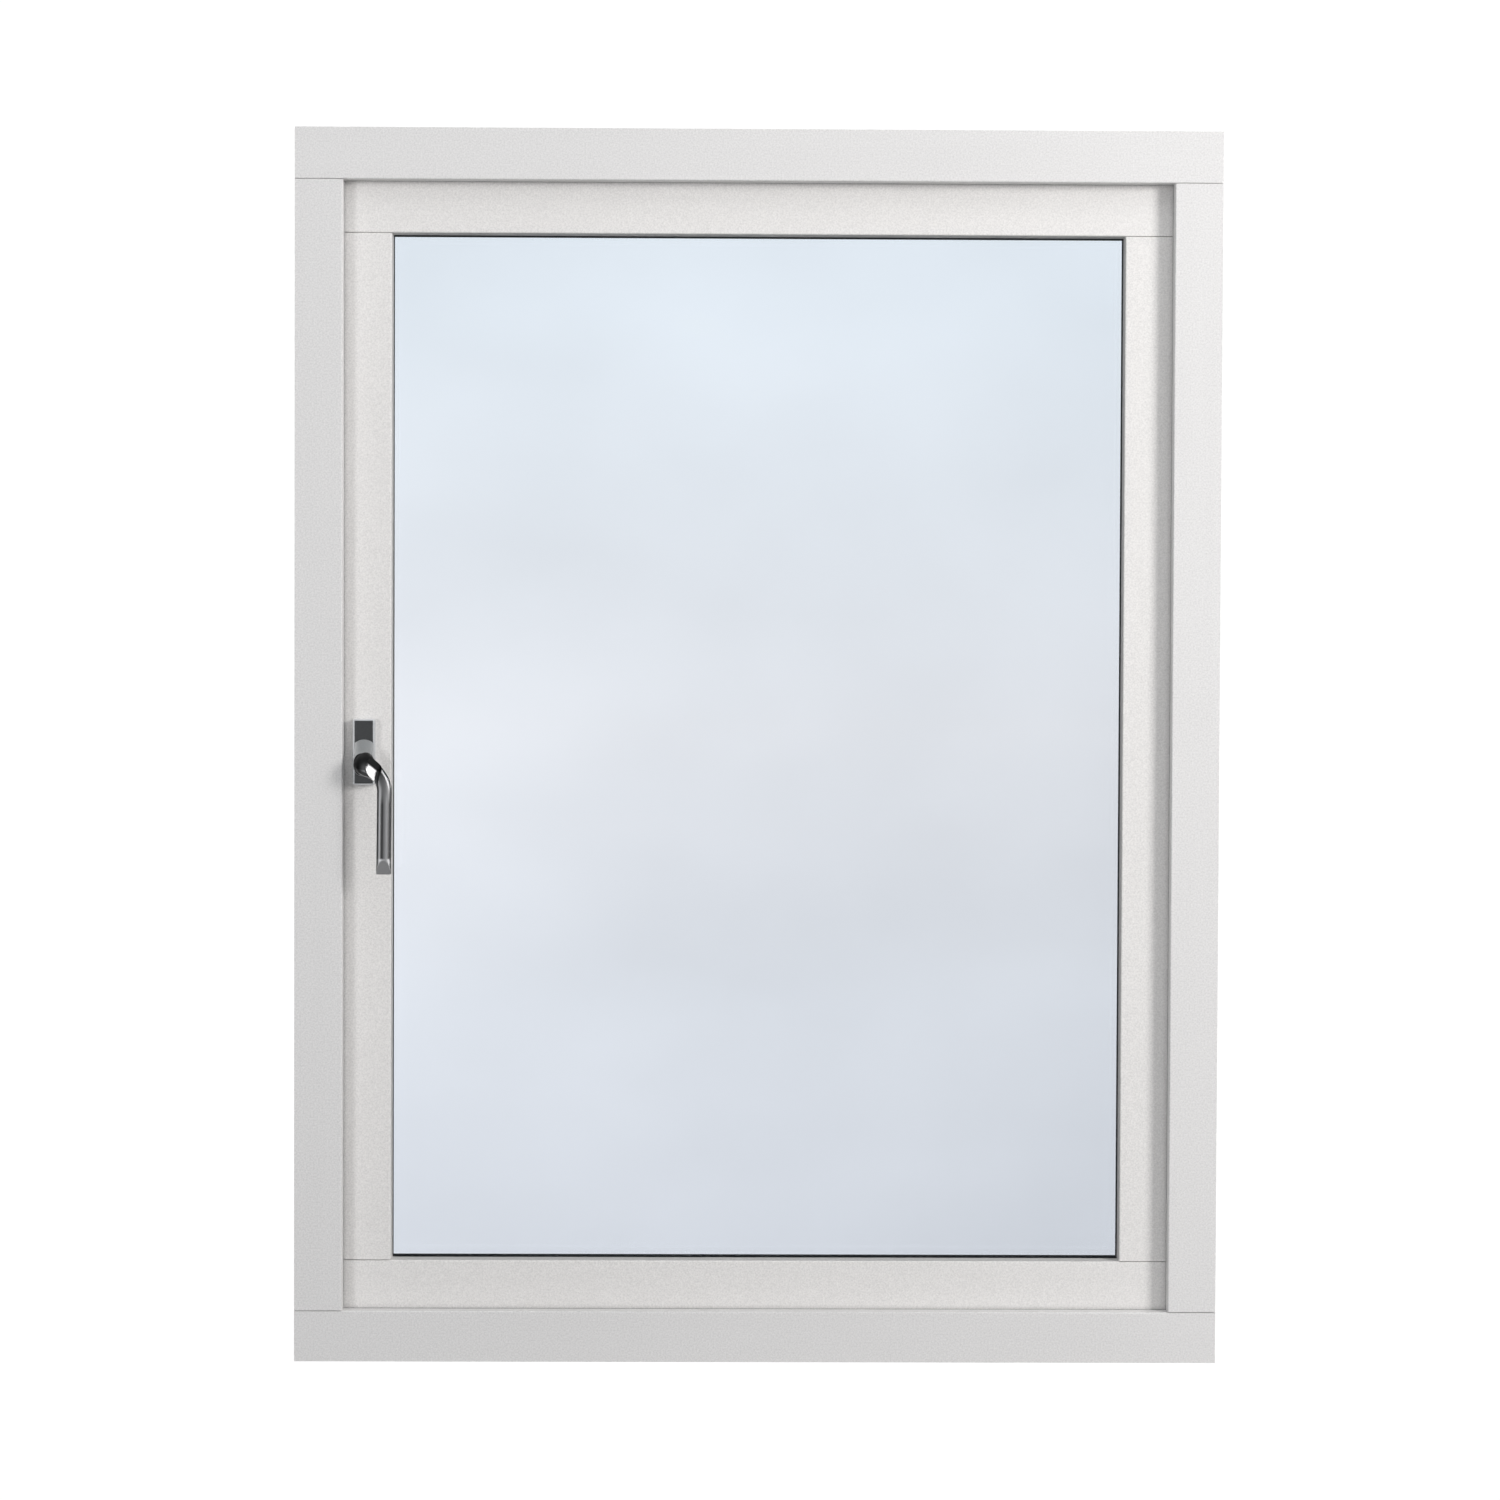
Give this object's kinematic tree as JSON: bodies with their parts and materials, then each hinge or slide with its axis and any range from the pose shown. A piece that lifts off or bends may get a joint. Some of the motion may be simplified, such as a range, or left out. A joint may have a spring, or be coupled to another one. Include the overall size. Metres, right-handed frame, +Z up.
{
  "type": "casement window",
  "caption": "Outward-opening side-hung casement window with a double-glazed timber sash, multi-point lock and lever handle.",
  "frame": {"origin": "middle of the frame's underside, halfway through its depth", "axes": "+Z up, +Y towards the outdoors, +X to the right seen from the room"},
  "size_m": [0.9, 0.13, 1.2],
  "materials": {
    "painted_timber": "white satin paint over timber",
    "seal_rubber": "matt black rubber",
    "clear_glass": "clear float glass",
    "edge_sealant": "black sealant",
    "spacer_black": "black warm-edge bar",
    "setting_plastic": "moulded polypropylene",
    "washer_nylon": "natural nylon",
    "drip_bar_aluminium": "satin anodised",
    "hinge_steel": "brushed stainless steel",
    "screw_zinc": "bright zinc plate",
    "lock_zinc": "zinc plated steel",
    "cam_brass": "turned brass",
    "handle_satin_chrome": "satin chrome with polished edges",
    "gear_steel": "machined steel"
  },
  "bodies": {
    "frame": {"frame_head": "painted_timber", "frame_sill": "painted_timber", "frame_jamb_left": "painted_timber", "frame_jamb_right": "painted_timber", "frame_corner_screws": "screw_zinc", "frame_seal_head": "seal_rubber", "frame_seal_sill": "seal_rubber", "frame_seal_left": "seal_rubber", "frame_seal_right": "seal_rubber", "hinge_frame_leaf_lower": "hinge_steel", "hinge_frame_leaf_upper": "hinge_steel", "hinge_pin_lower": "hinge_steel", "hinge_pin_upper": "hinge_steel", "hinge_washers": "washer_nylon", "hinge_frame_screws": "screw_zinc", "lock_keep_lower": "lock_zinc", "lock_keep_upper": "lock_zinc", "keep_screws": "screw_zinc"},
    "sash": {"sash_rail_top": "painted_timber", "sash_rail_bottom": "painted_timber", "sash_stile_left": "painted_timber", "sash_stile_right": "painted_timber", "flange_seals": "seal_rubber", "drip_bar": "drip_bar_aluminium", "drip_bar_screws": "screw_zinc", "glass_inner": "clear_glass", "glass_outer": "clear_glass", "glass_edge_seal": "edge_sealant", "glass_spacer": "spacer_black", "glazing_gasket_inner": "seal_rubber", "glazing_gasket_outer": "seal_rubber", "setting_blocks": "setting_plastic", "bead_bottom": "painted_timber", "bead_top": "painted_timber", "bead_left": "painted_timber", "bead_right": "painted_timber", "bead_screws": "screw_zinc", "hinge_sash_leaf_lower": "hinge_steel", "hinge_sash_leaf_upper": "hinge_steel", "hinge_sash_screws": "screw_zinc", "lock_faceplate": "lock_zinc", "faceplate_screws": "screw_zinc", "lock_case": "lock_zinc", "lock_case_cover": "lock_zinc", "handle_base": "lock_zinc", "handle_screw": "screw_zinc", "handle_rose": "handle_satin_chrome"},
    "handle": {"handle_lever": "handle_satin_chrome", "handle_spindle": "gear_steel", "lock_pinion": "gear_steel"},
    "drive_rail": {"drive_rail": "lock_zinc", "drive_rack": "lock_zinc", "drive_cam_lower": "cam_brass", "drive_cam_upper": "cam_brass"}
  },
  "joints": [
    {"name": "sash_swing", "type": "hinge", "parent": "frame", "child": "sash", "pos_m": [0.438, 0.054, 0.6], "axis": [0, 0, -1], "range_deg": [0, 90]},
    {"name": "handle_turn", "type": "hinge", "parent": "sash", "child": "handle", "pos_m": [-0.3835, -0.054, 0.5835], "axis": [0, -1, 0], "range_deg": [0, 90]},
    {"name": "drive_slide", "type": "slide", "parent": "sash", "child": "drive_rail", "axis": [0, 0, -1], "range_m": [0, 0.0165]}
  ],
  "couplings": [
    {"joint": "drive_slide", "follows": "handle_turn", "m_per_rad": 0.0105}
  ]
}
